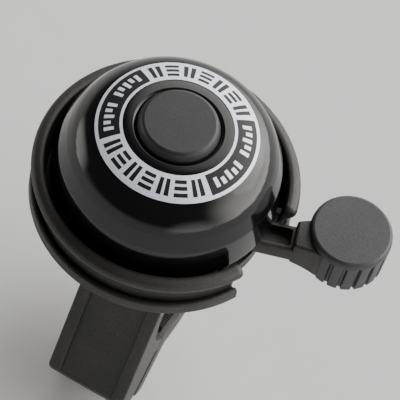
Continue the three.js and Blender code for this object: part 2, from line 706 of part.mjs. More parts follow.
// The spring's lower leg pushes the lever's lug and its upper leg bears on the
// centre post. Both leave the coil on tangents.
function returnSpring() {
  const lugSideDeg = HAMMER_DEG - 90;
  const toPost = PIVOT.clone().negate();
  const legOffset = SLEEVE_R + WIRE_R + 0.12;
  const lean = Math.asin((legOffset - COIL_R) / toPost.length());
  const postLegDeg = THREE.MathUtils.radToDeg(toPost.angle() + lean);
  const coilEndDeg = postLegDeg + 90 - 360;
  const fullTurns = 3;
  const sweep = lugSideDeg - coilEndDeg + 360 * fullTurns;
  const points = [];
  const lugLeg = polar(COIL_R, lugSideDeg);
  const lugOut = polar(1, HAMMER_DEG);
  for (const along of [6.4, 4.2, 2]) {
    const at = lugLeg.clone().addScaledVector(lugOut, along);
    points.push(new THREE.Vector3(at.x, at.y, COIL_LOW));
  }
  const steps = Math.round(sweep / 24);
  for (let i = 0; i <= steps; i += 1) {
    const at = polar(COIL_R, lugSideDeg - sweep * i / steps);
    const z = COIL_LOW + (COIL_TOP - COIL_LOW) * i / steps;
    points.push(new THREE.Vector3(at.x, at.y, z));
  }
  const coilEnd = points[points.length - 1];
  const legOut = polar(1, postLegDeg);
  for (const along of [3, 7, 11.5]) {
    const x = coilEnd.x + legOut.x * along;
    const y = coilEnd.y + legOut.y * along;
    points.push(new THREE.Vector3(x, y, COIL_TOP));
  }
  const path = new THREE.CatmullRomCurve3(points);
  const section = new THREE.Shape(arcPoints(WIRE_R, 0, 300, 5));
  return new THREE.ExtrudeGeometry(section, {
    steps: 78,
    bevelEnabled: false,
    extrudePath: path,
  });
}

add(onPivot, 'lever_pin', pivotPin, zincSteel);
const pinWasher = ring(3.3, LEVER_PIN_R + 0.06, PIN_WASHER_LOW, PIN_WASHER_LOW + 0.5);
add(onPivot, 'lever_washer', pinWasher, zincSteel);
add(onPivot, 'lever_clip', retainingClip(), springSteel);
add(onPivot, 'return_spring', returnSpring(), springSteel);

// ---- hammer -------------------------------------------------------------------
// A spring strip riveted to the lever's lug, with a steel striker at its free end.

function hammerLeaf() {
  const strip = box(STRIKER_AT - LUG_FROM, LEAF_T, LEAF_LOW, LEAF_TOP);
  moved(strip, (STRIKER_AT + LUG_FROM) / 2, 0);
  const holeR = RIVET_R + 0.05;
  const holes = rivetAlong.map((along) => {
    const hole = new THREE.CylinderGeometry(holeR, holeR, 2, 12);
    return hole.translate(along, 0, rivetZ);
  });
  return carve([strip], holes);
}

function leafRivet() {
  const backFrom = -LEAF_T / 2 - LUG_T - 0.08;
  const shank = new THREE.CylinderGeometry(RIVET_R, RIVET_R, LEAF_T + LUG_T + 0.4, 12);
  shank.translate(0, (backFrom + LEAF_T / 2) / 2, 0);
  const front = new THREE.CylinderGeometry(0.5, 0.65, RIVET_HEAD_T, 16);
  front.translate(0, LEAF_T / 2 + 0.05 + RIVET_HEAD_T / 2, 0);
  const back = new THREE.CylinderGeometry(0.5, 0.45, RIVET_HEAD_T, 16);
  back.translate(0, backFrom - RIVET_HEAD_T / 2, 0);
  return carve([shank, front, back]);
}

function striker() {
  const middle = (LEAF_LOW + LEAF_TOP) / 2;
  const half = 2.3;
  const slug = revolve([
    [0, middle - half], [1.2, middle - half + 0.15], [1.65, middle - half + 0.7],
    [STRIKER_R, middle - half + 1.3], [STRIKER_R, middle + half - 1.3],
    [1.65, middle + half - 0.7], [1.2, middle + half - 0.15], [0, middle + half],
  ], 24);
  slug.translate(STRIKER_AT, 0, 0);
  const slot = box(STRIKER_R, LEAF_T + 0.1, LEAF_LOW - 0.05, LEAF_TOP + 0.05);
  return carve([slug], [moved(slot, STRIKER_AT - STRIKER_R / 2, 0)]);
}

add(onHammer, 'hammer_leaf', hammerLeaf(), springSteel);
rivetAlong.forEach((along, index) => {
  add(onHammer, `leaf_rivet_${index + 1}`, leafRivet(), zincSteel).position.set(along, 0, rivetZ);
});
add(onHammer, 'striker', striker(), zincSteel);

export default bell;
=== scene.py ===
import math

import bmesh
import bpy
from mathutils import Matrix, Vector


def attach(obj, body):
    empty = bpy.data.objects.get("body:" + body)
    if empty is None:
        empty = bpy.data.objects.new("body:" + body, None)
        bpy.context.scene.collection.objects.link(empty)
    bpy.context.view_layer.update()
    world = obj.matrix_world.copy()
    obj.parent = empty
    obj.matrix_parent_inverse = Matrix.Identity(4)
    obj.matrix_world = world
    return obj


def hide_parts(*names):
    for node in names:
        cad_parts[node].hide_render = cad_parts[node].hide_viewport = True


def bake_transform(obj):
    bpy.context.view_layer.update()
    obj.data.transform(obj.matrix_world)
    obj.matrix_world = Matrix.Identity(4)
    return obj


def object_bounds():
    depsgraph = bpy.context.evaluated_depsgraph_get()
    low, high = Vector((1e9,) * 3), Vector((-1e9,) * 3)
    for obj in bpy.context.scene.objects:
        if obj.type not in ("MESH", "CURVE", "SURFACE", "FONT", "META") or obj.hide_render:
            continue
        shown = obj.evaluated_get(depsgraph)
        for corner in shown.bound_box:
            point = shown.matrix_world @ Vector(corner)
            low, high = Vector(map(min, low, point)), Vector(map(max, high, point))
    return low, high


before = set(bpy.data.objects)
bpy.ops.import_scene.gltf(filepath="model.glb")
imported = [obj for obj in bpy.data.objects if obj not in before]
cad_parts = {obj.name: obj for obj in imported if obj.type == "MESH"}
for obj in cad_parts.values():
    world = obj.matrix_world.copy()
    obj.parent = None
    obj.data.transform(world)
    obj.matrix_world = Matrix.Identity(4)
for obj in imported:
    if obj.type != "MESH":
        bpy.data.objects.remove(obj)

# ---- the bracket -----------------------------------------------------------------------------
# The round plate, the upper half of the handlebar clamp and its long leg are one
# moulding in black glass-filled nylon, with a fine matt grain from its spark-eroded
# mould. A bolt from under the bar pad holds the whole bell to it.

MM = 0.001
CAD_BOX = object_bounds()
BASE_Z = 16                      # underside of the round plate, above the bar's axis
BAR_R = 11.1                     # a 22.2 mm bar
CLAMP_IN, CLAMP_OUT = 12.3, 15   # radii of the clamp's two halves
CLAMP_X = 2.2                    # the clamp's middle, along the bar from the dome's
HALF_WIDTH = 7
SPLIT = 50                       # the clamp's halves meet on this line, from +Y towards +Z
HINGE_AT, SCREW_AT = 17.2, 19.8  # from the bar's axis


def linear(colour):
    """A #rrggbb colour as the linear values that a shader wants."""
    parts = [int(colour[i:i + 2], 16) / 255 for i in (1, 3, 5)]
    return [c / 12.92 if c < 0.0405 else ((c + 0.055) / 1.055) ** 2.4 for c in parts] + [1]


def add_node(tree, kind, inputs=None, **settings):
    """Adds one node. An input is a value, or the output socket that feeds it."""
    new = tree.nodes.new("ShaderNode" + kind)
    for name, value in settings.items():
        setattr(new, name, value)
    for name, value in (inputs or {}).items():
        if isinstance(value, bpy.types.NodeSocket):
            tree.links.new(value, new.inputs[name])
        else:
            new.inputs[name].default_value = value
    return new


def new_material(name, **values):
    """A material with its shader's plain values set; returns it, its nodes and its shader."""
    material = bpy.data.materials.new(name)
    material.use_nodes = True
    shader = material.node_tree.nodes["Principled BSDF"]
    for socket, value in values.items():
        shader.inputs[socket.replace("_", " ")].default_value = value
    return material, material.node_tree, shader


def surface(tree, shader, pattern, dark, light, span=(0, 1), dull=None, relief=None):
    """Colours a surface by a pattern, from dark to light over a span of it. dull is the
    roughness at the pattern's two ends. relief is the pattern that raises the surface,
    its height in millimetres and its strength."""
    shade = add_node(tree, "ValToRGB", {"Fac": pattern})
    for stop, at, colour in zip(shade.color_ramp.elements, span, (dark, light)):
        stop.position = at
        stop.color = linear(colour)
    tree.links.new(shade.outputs["Color"], shader.inputs["Base Color"])
    if dull:
        rough = add_node(tree, "MapRange", {"Value": pattern, "To Min": dull[0], "To Max": dull[1]})
        tree.links.new(rough.outputs["Result"], shader.inputs["Roughness"])
    if relief:
        height, tall, strength = relief
        bump = add_node(tree, "Bump", {"Height": height, "Distance": tall * MM, "Strength": strength})
        tree.links.new(bump.outputs["Normal"], shader.inputs["Normal"])


def moulded_plastic(name, dark, light, rough, grain_mm, grain_height):
    """Grained plastic: the grain is a bump, and its hilltops are a little shinier and painted paler, a
    painted sheen.
    """
    material, tree, shader = new_material(name, IOR=1.5, Roughness=rough)
    place = add_node(tree, "TexCoord").outputs["Object"]
    grain = add_node(tree, "TexNoise", {
        "Vector": place, "Scale": 1 / (grain_mm * MM), "Detail": 3, "Roughness": 0.6,
    }).outputs["Fac"]
    flow = add_node(tree, "TexNoise", {
        "Vector": place, "Scale": 1 / (7 * MM), "Detail": 2,
    }).outputs["Fac"]
    # The colour follows the grain: its hilltops are painted paler, a painted sheen, varied at random by the
    # 7 mm flow.
    tone_and_sheen = add_node(tree, "Math", {0: grain, 1: flow}, operation="MULTIPLY_ADD")
    tone_and_sheen.inputs[2].default_value = 0.1
    dull = add_node(tree, "MapRange", {
        "Value": grain, "From Min": 0.3, "From Max": 0.7, "To Min": rough + 0.08, "To Max": rough - 0.06,
    })
    tree.links.new(dull.outputs["Result"], shader.inputs["Roughness"])
    surface(tree, shader, tone_and_sheen.outputs[0], dark, light, (0.22, 0.55), relief=(grain, grain_height, 0.7))
    return material


# Spark grain is about 0.08 mm across; it is drawn at 0.3 mm so that it shows. It
# breaks highlights into a soft grey sheen, and its hilltops are painted paler, a painted
# sheen that keeps the black off pure.
matt_nylon = moulded_plastic("glass_filled_nylon_spark_grained", "#171716", "#2c2b29", 0.5, 0.3, 0.09)


def fillet(outline, radius, steps=5):
    """Rounds the corners of a closed outline. A point may hold its own radius as a third value."""
    rounded = []
    for i, point in enumerate(outline):
        corner = Vector(point[:2])
        reach = point[2] if len(point) > 2 else radius
        before = Vector(outline[i - 1][:2]) - corner
        after = Vector(outline[(i + 1) % len(outline)][:2]) - corner
        turn = math.pi - before.angle(after)
        reach = min(reach * math.tan(turn / 2), before.length * 0.48, after.length * 0.48)
        if reach < 0.004:
            rounded.append(tuple(corner))
            continue
        start = corner + before.normalized() * reach
        end = corner + after.normalized() * reach
        for step in range(steps + 1):
            u = step / steps
            rounded.append(tuple(start * (1 - u) ** 2 + corner * 2 * u * (1 - u) + end * u ** 2))
    return rounded


def build(name, points, faces):
    """A closed mesh object from points in millimetres, with its faces turned outwards."""
    mesh = bpy.data.meshes.new(name)
    body = bmesh.new()
    corners = [body.verts.new([c * MM for c in point]) for point in points]
    for face in faces:
        body.faces.new([corners[i] for i in face])
    bmesh.ops.remove_doubles(body, verts=body.verts, dist=1e-8)
    bmesh.ops.recalc_face_normals(body, faces=body.faces)
    body.to_mesh(mesh)
    body.free()
    piece = bpy.data.objects.new(name, mesh)
    bpy.context.scene.collection.objects.link(piece)
    return piece


def lathe(name, outline, steps=180, x=0, y=0, z=BASE_Z):
    """Turns a closed (radius, height) outline about an upright axis at x, y."""
    points, faces = [], []
    count = len(outline)
    for i in range(steps):
        turn = 2 * math.pi * i / steps
        for r, h in outline:
            points.append((x + r * math.cos(turn), y + r * math.sin(turn), z + h))
        for j in range(count):
            k = (j + 1) % count
            if outline[j][0] == 0 and outline[k][0] == 0:
                continue
            here, there = i * count, (i + 1) % steps * count
            faces.append((here + j, there + j, there + k, here + k))
    return build(name, points, faces)


def reshape(piece, place):
    """Moves every point of a piece by a rule in millimetres, and turns its faces out again."""
    for vertex in piece.data.vertices:
        vertex.co = Vector(place(*(vertex.co / MM))) * MM
    body = bmesh.new()
    body.from_mesh(piece.data)
    bmesh.ops.recalc_face_normals(body, faces=body.faces)
    body.to_mesh(piece.data)
    body.free()
    return piece


def prism(name, outline, low, high, place, soften=0.25):
    """Raises an outline from low to high, softens its end edges, and places its points."""
    count = len(outline)
    points = [(a, b, low) for a, b in outline] + [(a, b, high) for a, b in outline]
    faces = [list(range(count))[::-1], list(range(count, 2 * count))]
    faces += [(i, (i + 1) % count, (i + 1) % count + count, i + count) for i in range(count)]
    piece = build(name, points, faces)
    if soften:
        body = bmesh.new()
        body.from_mesh(piece.data)
        edges = [e for e in body.edges if abs(e.verts[0].co.z - e.verts[1].co.z) < 1e-9]
        bmesh.ops.bevel(body, geom=edges, offset=soften * MM, segments=3, profile=0.5, affect="EDGES")
        body.to_mesh(piece.data)
        body.free()
    return reshape(piece, place)


def upright(a, b, h):
    """For an outline seen from above, with its height above the plate's underside."""
    return a, b, h + BASE_Z


def sideways(a, b, h):
    """For an outline in (Y, Z) with its width along the bar."""
    return h, a, b


def combine(piece, others, operation="UNION"):
    """Joins other pieces to a piece, or cuts them out of it, and uses them up."""
    for other in others:
        step = piece.modifiers.new("step", "BOOLEAN")
        step.operation = operation
        step.object = other
        step.solver = "EXACT"
        result = bpy.data.meshes.new_from_object(
            piece.evaluated_get(bpy.context.evaluated_depsgraph_get()))
        piece.modifiers.clear()
        piece.data = result
        bpy.data.objects.remove(other)
    return piece


def settle(piece, material, body, slot, *nodes):
    """Shades a piece smooth up to its edges, gives it its material and body, and hides the CAD nodes that
    it stands in for.
    """
    for face in piece.data.polygons:
        face.use_smooth = True
    piece.data.set_sharp_from_angle(angle=math.radians(34))
    piece.data.materials.clear()
    piece.data.materials.append(material)
    if body:
        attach(piece, body)
    if nodes:
        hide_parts(*nodes)
    return piece


def polar(radius, degrees):
    """The point at a radius and an angle."""
    turn = math.radians(degrees)
    return Vector((radius * math.cos(turn), radius * math.sin(turn)))


def arc(radius, start, end, steps):
    """Evenly spaced points round an arc."""
    return [tuple(polar(radius, start + (end - start) * i / steps)) for i in range(steps + 1)]


MOUTH_FROM, MOUTH_TO = -26, 12   # the gap in the rim, round the dome's axis
FLOOR_R = 17.6                   # the gap is cut in as far as this


def mouth_cut():
    """The gap in the rim and in the plate that the lever swings in."""
    outline = arc(FLOOR_R, MOUTH_TO, MOUTH_FROM, 12)
    outline += [tuple(polar(30, MOUTH_FROM)), tuple(polar(30, MOUTH_TO))]
    return prism("cut", outline, -1, 12, upright, soften=0)


along_split, across_split = polar(1, SPLIT), polar(1, SPLIT - 90)


def on_split(along, across):
    """A (Y, Z) place along the split from the bar's axis, and across it towards the jaw."""
    return tuple(along_split * along + across_split * across)


leg_end = Vector(on_split(-24.4, -7))
leg_tangent = math.degrees(math.atan2(leg_end.y, leg_end.x) - math.acos(CLAMP_OUT / leg_end.length))
leg_tangent %= 360
leg_out, leg_down = polar(1, leg_tangent), polar(1, leg_tangent + 90)
leg_length = leg_end.dot(leg_down)


def on_leg(down, out):
    """A (Y, Z) place down the leg's outer face from where it leaves the clamp's round."""
    return tuple(leg_out * (CLAMP_OUT + out) + leg_down * down)


def on_screw_axis(piece):
    """Moves a piece made round +Z to the clamp screw's axis, which runs across the split."""
    axis = Vector((0, across_split.x, across_split.y))
    turn = Vector((0, 0, 1)).rotation_difference(axis).to_matrix().to_4x4()
    piece.data.transform(Matrix.Translation(Vector((CLAMP_X, *on_split(-SCREW_AT, 0))) * MM) @ turn)
    return piece


def on_hinge_axis(piece):
    """Moves a piece made round +Z to the hinge pin's axis, which runs along the bar."""
    turn = Matrix.Rotation(math.pi / 2, 4, "Y")
    piece.data.transform(Matrix.Translation(Vector((CLAMP_X, *polar(HINGE_AT, SPLIT))) * MM) @ turn)
    return piece


def rod(radius, start, end, steps=48, x=0, y=0, z=0):
    """A plain round rod, made to be cut out of a piece or joined to it."""
    return lathe("rod", [(0, start), (radius, start), (radius, end), (0, end)], steps, x, y, z)


def bore(radius, start, end, x=0, y=0, steps=48):
    """An upright rod, with its ends' heights above the plate's underside."""
    return rod(radius, start, end, steps, x, y, BASE_Z)


plate = lathe("bracket_plate", fillet([
    (2.1, 0, 0), (20.6, 0), (21, 0.5), (20.9, 2.3), (20.6, 2.5), (20.1, 2.5), (20, 1.9), (2.1, 1.9, 0),
], 0.35), 240)
screw_sites = [(-12.5, 6.5), (-12.5, -6.5), (10.5, -12)]
recesses = [
    lathe("cut", [(0, -1), (2.1, -1), (2.1, 0.9), (1.2, 0.9), (1.2, 3), (0, 3)], 40, x, y)
    for x, y in screw_sites
]
combine(plate, [mouth_cut()] + recesses, "DIFFERENCE")
settle(plate, matt_nylon, "base", "moulded_plastic", "clamp_bracket")

half = [on_leg(-11.5, 0)] + arc(CLAMP_OUT, leg_tangent, SPLIT + 180, 24)
half += arc(CLAMP_IN, SPLIT + 180, SPLIT, 60)
half += [tuple(polar(15.4, SPLIT)), (12.4, 14.2), (12.8, BASE_Z + 0.02), (on_leg(-12, 0)[0], BASE_Z + 0.02)]
clamp_low, clamp_high = CLAMP_X - HALF_WIDTH, CLAMP_X + HALF_WIDTH
clamp = prism("bracket_clamp", half, clamp_low, clamp_high, sideways, 0.3)
leg = prism("leg", fillet([
    on_split(-12.4, -0.75) + (0,), on_split(-24.4, -0.75), on_split(-24.4, -6),
    on_leg(leg_length - 1, 0), on_leg(0, 0) + (0,), (*polar(12.6, leg_tangent), 0),
    (*polar(12.5, leg_tangent + 25), 0), (*polar(12.5, leg_tangent + 45), 0),
], 0.5), clamp_low, clamp_high, sideways, 0.3)
ribs = [
    prism("rib", [
        on_leg(-11.4, -0.6), on_leg(leg_length - 1.6, -0.6), on_leg(leg_length - 1.2, 0.3),
        on_leg(leg_length - 2, 0.6), on_leg(-11.4, 0.6),
    ], CLAMP_X + side * 5.9 - 1.1, CLAMP_X + side * 5.9 + 1.1, sideways, 0.25)
    for side in (-1, 1)
]
combine(clamp, [leg] + ribs + [on_hinge_axis(rod(2.4, -6.9, 6.9))])


def rectangle(left, right, low, high):
    """A square-cornered outline."""
    return [(left, low), (right, low), (right, high), (left, high)]


def split_box(along_from, along_to, across_from, across_to, half_width):
    """A square-edged cut, placed along and across the split."""
    outline = [on_split(*corner) for corner in rectangle(along_from, along_to, across_from, across_to)]
    return prism("cut", outline, CLAMP_X - half_width, CLAMP_X + half_width, sideways, 0)


combine(clamp, [
    on_hinge_axis(rod(2.75, -2.9, 2.9)),
    split_box(12.6, 20.2, -0.2, 4, 2.85),
    on_hinge_axis(rod(1.05, -14, 14, 32)),
    on_screw_axis(rod(2.6, -6.25, 0.1, 40)),
    split_box(-30, -16.1, -5.65, -2.25, 3.7),
    split_box(-30, -17.2, -3.3, 1, 2.6),
    bore(2.1, -6, 3, steps=40),
    bore(3.7, -7, -2.1),
    bore(2.1, -1, 0.9, *screw_sites[2], 40),
], "DIFFERENCE")
settle(clamp, matt_nylon, "base", "moulded_plastic", "clamp_bracket")

# ---- the clamp's jaw -------------------------------------------------------------------------
# The lower half of the clamp, moulded in the same black nylon. It swings on the hinge
# pin, and its flat ear is drawn up to the leg by the clamp screw.

jaw_round = arc(CLAMP_OUT, SPLIT - 180, SPLIT, 60) + arc(CLAMP_IN, SPLIT, SPLIT - 180, 60)
jaw = prism("clamp_jaw_half", jaw_round, clamp_low, clamp_high, sideways, 0.3)
jaw_ear = prism("ear", fillet([
    on_split(-13.2, 0.75) + (0,), on_split(-24.4, 0.75), on_split(-24.4, 2.75), on_split(-23.2, 3.95),
    on_split(-13.2, 3.95) + (0,),
], 0.45), clamp_low, clamp_high, sideways, 0.3)
jaw_web = prism("web", [
    on_split(12.6, 0.3), on_split(HINGE_AT, 0.3), on_split(HINGE_AT, 2.4), on_split(14.4, 6),
    on_split(12.6, 6),
], CLAMP_X - 2.6, CLAMP_X + 2.6, sideways, 0.2)
combine(jaw, [jaw_ear, jaw_web])
combine(jaw, [
    split_box(-30, 15.35, -4, 0.15, 8),
    on_hinge_axis(rod(2.75, -14, -2.65)),
    on_hinge_axis(rod(2.75, 2.65, 14)),
], "DIFFERENCE")
combine(jaw, [on_hinge_axis(rod(2.4, -2.55, 2.55))])
combine(jaw, [on_hinge_axis(rod(1.1, -14, 14, 32)), on_screw_axis(rod(1.8, 0, 10, 40))], "DIFFERENCE")
settle(jaw, matt_nylon, "jaw", "moulded_plastic", "clamp_jaw")

# ---- rubber pads -----------------------------------------------------------------------------
# Two strips of black rubber line the clamp so that it grips a 22.2 mm bar without
# marking it. They are cut from ribbed sheet, with fine grooves along the bar.

# Cut rubber scatters light with almost no shine, and a waxy bloom greys it in
# patches 1 to 2 mm across.
pad_rubber, tree, shader = new_material("natural_rubber_ribbed_sheet", IOR=1.52, Roughness=0.85)
place = add_node(tree, "TexCoord").outputs["Object"]
bloom = add_node(tree, "TexNoise", {"Vector": place, "Scale": 1 / (1.5 * MM), "Detail": 4}).outputs["Fac"]
surface(tree, shader, bloom, "#121212", "#262524", relief=(bloom, 0.04, 0.6))


GROOVE_PITCH, GROOVE_DEPTH = 0.6, 0.25


def pad_outline(start, end):
    """A pad from one angle to the other, with grooves in its inner face."""
    grooves = round(math.radians(end - start) * BAR_R / GROOVE_PITCH)
    step = (end - start) / grooves
    inner = []
    for i in range(grooves):
        at = end - (end - start) * i / grooves
        inner += [tuple(polar(BAR_R, at - share * step)) for share in (0, 0.55)]
        inner += [tuple(polar(BAR_R + GROOVE_DEPTH, at - share * step)) for share in (0.65, 0.9)]
    return arc(CLAMP_IN - 0.1, start, end, 60) + inner + [tuple(polar(BAR_R, start))]


for name, start, end, body in [("upper", 55, 225, "base"), ("lower", -125, 45, "jaw")]:
    pad = prism(f"pad_{name}", pad_outline(start, end), CLAMP_X - 6, CLAMP_X + 6, sideways, 0)
    settle(pad, pad_rubber, body, "rubber", f"bar_pad_{name}")

# ---- clamp screw, nut, washer and hinge pin --------------------------------------------------
# Turned and cold-headed steel, zinc plated. The screw passes through the jaw's ear
# into a square nut that slides into the leg; the pin is pressed through the hinge.

# Bright zinc is a pale blue-grey metal, clouded by the passivation bath. The turning
# marks are 0.05 mm apart, too fine to show, so they are left to the roughness.
zinc_plate, tree, shader = new_material("zinc_plated_steel_passivated", Metallic=1.0)
place = add_node(tree, "TexCoord").outputs["Object"]
cloud = add_node(tree, "TexNoise", {
    "Vector": place, "Scale": 1 / (1.8 * MM), "Detail": 5, "Roughness": 0.6,
}).outputs["Fac"]
pits = add_node(tree, "TexNoise", {"Vector": place, "Scale": 1 / (0.25 * MM), "Detail": 2}).outputs["Fac"]
surface(tree, shader, cloud, "#8d9093", "#b9bcbd", (0.3, 0.7), (0.22, 0.48), (pits, 0.01, 0.5))


def as_made(a, b, h):
    """For an outline that is moved to its place later."""
    return a, b, h


HEAD_LOW = 4.85
screw = lathe("clamp_screw_turned", fillet([
    (0, -6.1, 0), (1.15, -6.1, 0.1), (1.7, -5.4, 0.3), (1.7, HEAD_LOW, 0.15), (3.45, HEAD_LOW, 0.15),
    (3.4, 5.6, 0.8), (2.7, 7.15, 0.9), (0, 7.25, 0),
], 0.2), 72, z=0)
cross = [
    prism("cut", fillet(rectangle(-a, a, -b, b), 0.15), 6.25, 9, as_made, 0)
    for a, b in [(2.1, 0.42), (0.42, 2.1)]
]
on_screw_axis(combine(screw, cross, "DIFFERENCE"))
settle(screw, zinc_plate, "screw", "zinc_steel", "clamp_screw")

washer = lathe("clamp_washer_stamped", fillet(rectangle(1.8, 4.2, 4, 4.8), 0.18), 72, z=0)
settle(on_screw_axis(washer), zinc_plate, "jaw", "zinc_steel", "clamp_washer")

nut = prism("clamp_nut_square", fillet(rectangle(-3.5, 3.5, -3.5, 3.5), 0.35), -5.5, -2.4, as_made)
combine(nut, [rod(2.2, -9, 0)], "DIFFERENCE")
settle(on_screw_axis(nut), zinc_plate, "base", "zinc_steel", "clamp_nut")

pin = lathe("hinge_pin_turned", fillet([(0, -7, 0), (1, -7), (1, 7), (0, 7, 0)], 0.25), 48, z=0)
settle(on_hinge_axis(pin), zinc_plate, "base", "zinc_steel", "jaw_hinge_pin")

# ---- the housing -----------------------------------------------------------------------------
# A cup in the same nylon and grain, with a rolled bead round its rim, open where the
# lever swings. Three screws hold it down on the plate from underneath.

rim = fillet([
    (18.3, 1.95, 0), (19.7, 1.95, 0.15), (19.85, 5.6, 1.5), (20.15, 6.35, 0.8), (20.95, 6.85, 0.9),
    (21.4, 7.95, 1.6), (20.95, 8.85, 1), (20, 9.1, 1), (19.3, 9, 0.6), (18.9, 6.6, 1.5), (18.6, 2.75, 0.4),
    (18.3, 2.75, 0),
], 0.3, 7)
MIDDLE = [Vector(point) for point in [(18.6, 2.3), (19.2, 2.6), (19.3, 5.4), (19.6, 6.6), (20.2, 7.9)]]
END_ROUND = 0.8                  # how far from its ends the rim starts to round off
RIM_R = 20                       # where that is measured


def drawn_in(point, share):
    """A point of the rim's section, moved part of the way to the section's middle line."""
    point = Vector(point)
    best = None
    for start, end in zip(MIDDLE, MIDDLE[1:]):
        along = (point - start).dot(end - start) / (end - start).length_squared
        near = start + (end - start) * min(1, max(0, along))
        if best is None or (near - point).length < (best - point).length:
            best = near
    return point + (best - point) * share


stops = [END_ROUND * (1 - math.cos(math.pi / 2 * i / 6)) / RIM_R for i in range(7)]
first, last = math.radians(MOUTH_TO), math.radians(MOUTH_FROM + 360)
turns = [first + stop for stop in stops]
turns += [first + stops[-1] + (last - first - 2 * stops[-1]) * i / 240 for i in range(1, 240)]
turns += [last - stop for stop in reversed(stops)]
points, faces = [], []
for turn in turns:
    left = max(0, 1 - RIM_R * min(turn - first, last - turn) / END_ROUND)
    for point in rim:
        r, h = drawn_in(point, 0.5 * (1 - math.sqrt(1 - left ** 2)))
        points.append((r * math.cos(turn), r * math.sin(turn), BASE_Z + h))
for i in range(len(turns) - 1):
    here, there = i * len(rim), (i + 1) * len(rim)
    for j in range(len(rim)):
        k = (j + 1) % len(rim)
        faces.append((here + j, there + j, there + k, here + k))
faces += [tuple(range(len(rim))), tuple(range(there, there + len(rim)))]
cup_rim = build("rim", points, faces)
housing = lathe("housing_cup", rectangle(2.1, 18.8, 1.92, 2.8), 240)
combine(housing, [mouth_cut()], "DIFFERENCE")
combine(housing, [cup_rim])
end_walls = []
for at in (MOUTH_TO + 3.4, MOUTH_FROM - 3.4):
    wall = prism("wall", fillet(rectangle(17.2, 19.2, -0.65, 0.65), 0.3), 2.4, 6.3, upright, 0.2)
    wall.data.transform(Matrix.Rotation(math.radians(at), 4, "Z"))
    end_walls.append(wall)
bosses = [
    lathe("boss", fillet([(0, 2.4, 0), (2.3, 2.4, 0), (2.3, 6), (0, 6, 0)], 0.3), 40, x, y)
    for x, y in screw_sites
]
PEG = Vector((14.7, 3.75))       # the lever comes to rest against a bumper on it
peg = lathe("peg", [(0, 2.4), (0.7, 2.4), (0.7, 5.95), (0.55, 6.1), (0, 6.1)], 32, *PEG)
combine(housing, end_walls + bosses + [peg])
PIVOT = Vector((8, -3))
combine(housing, [bore(1.1, 0, 5.2, *site, 32) for site in screw_sites] + [bore(1.5, 0, 6, *PIVOT, 40)],
        "DIFFERENCE")
settle(housing, matt_nylon, "base", "moulded_plastic", "base_housing")

for index, (x, y) in enumerate(screw_sites):
    head = lathe(f"housing_screw_slotted_{index + 1}", fillet([
        (0, 0.05, 0), (2, 0.05, 0.25), (2, 0.85, 0.1), (1.08, 0.85, 0.1), (1.08, 4.6, 0.2),
        (0.5, 4.8, 0.1), (0, 4.8, 0),
    ], 0.1), 48, x, y)
    slot = prism("cut", rectangle(x - 0.25, x + 0.25, y - 1.5, y + 1.5), -0.4, 0.35, upright, 0)
    combine(head, [slot], "DIFFERENCE")
    settle(head, zinc_plate, "base", "zinc_steel", f"housing_screw_{index + 1}")

bumper = lathe("bumper_sleeve", fillet(rectangle(0.75, 1.35, 2.85, 5.9), 0.2), 40, *PEG)
settle(bumper, pad_rubber, "base", "rubber", "stop_bumper")

# ---- centre bolt, sleeve and seat ------------------------------------------------------------
# One long plated bolt runs from under the bar pad to the nut under the cap. A turned
# sleeve and a nylon seat on it carry the dome clear of the cup, so that it rings.

bolt = lathe("centre_bolt_turned", fillet([
    (0, -3.65, 0), (3.6, -3.65, 0.2), (3.6, -2.15, 0.3), (2, -2.15, 0.1), (2, 21.3, 0.3),
    (1.4, 21.65, 0.1), (0, 21.65, 0),
], 0.2), 64)
socket = prism("cut", arc(1.445, 0, 300, 5), -4.7, -2.75, upright, 0)
combine(bolt, [socket], "DIFFERENCE")
settle(bolt, zinc_plate, "base", "zinc_steel", "centre_bolt")
sleeve = lathe("post_sleeve_turned", fillet(rectangle(2.1, 3.2, 2.82, 16.8), 0.2), 72)
settle(sleeve, zinc_plate, "base", "zinc_steel", "post_sleeve")
disc = lathe("dome_washer_stamped", fillet(rectangle(2.1, 4.4, 18.62, 19.22), 0.15), 72)
settle(disc, zinc_plate, "base", "zinc_steel", "dome_washer")
hex_nut = prism("dome_nut_hexagon", fillet(arc(4.04, 0, 300, 5), 0.4), 19.32, 21.52, upright, 0.3)
combine(hex_nut, [bore(2.05, 10, 30)], "DIFFERENCE")
settle(hex_nut, zinc_plate, "base", "zinc_steel", "dome_nut")

# Natural nylon is a milky off-white that lets a little light in.
seat_nylon, tree, shader = new_material(
    "natural_nylon_turned", IOR=1.53, Roughness=0.42, Subsurface_Weight=0.2, Subsurface_Scale=0.6 * MM)
place = add_node(tree, "TexCoord").outputs["Object"]
milk = add_node(tree, "TexNoise", {"Vector": place, "Scale": 1 / (2 * MM), "Detail": 3}).outputs["Fac"]
surface(tree, shader, milk, "#cfcabb", "#e2ded2", relief=(milk, 0.03, 0.5))
seat = lathe("dome_seat_turned", fillet(rectangle(2.1, 4.4, 16.85, 17.6), 0.15), 72)
settle(seat, seat_nylon, "base", "nylon", "dome_seat")

# ---- the dome --------------------------------------------------------------------------------
# Deep-drawn steel sheet 0.9 mm thick, enamelled gloss black all over. A soft crease
# runs round under the crown, with a chamfer and a steep skirt below it.

# Stoved enamel: a black coat under a clear gloss. The wave of the dried film is
# 2 to 3 mm long, and only bends the edges of reflections a little. A faint haze in
# patches of 5 mm takes the gloss up and down.
enamel, tree, shader = new_material("stoved_enamel_gloss_black", IOR=1.47)
place = add_node(tree, "TexCoord").outputs["Object"]
wave = add_node(tree, "TexNoise", {"Vector": place, "Scale": 1 / (2.6 * MM), "Detail": 1}).outputs["Fac"]
haze = add_node(tree, "TexNoise", {
    "Vector": place, "Scale": 1 / (5 * MM), "Detail": 6, "Roughness": 0.7,
}).outputs["Fac"]
surface(tree, shader, haze, "#060607", "#0d0d0f", dull=(0.05, 0.14), relief=(wave, 0.012, 0.35))


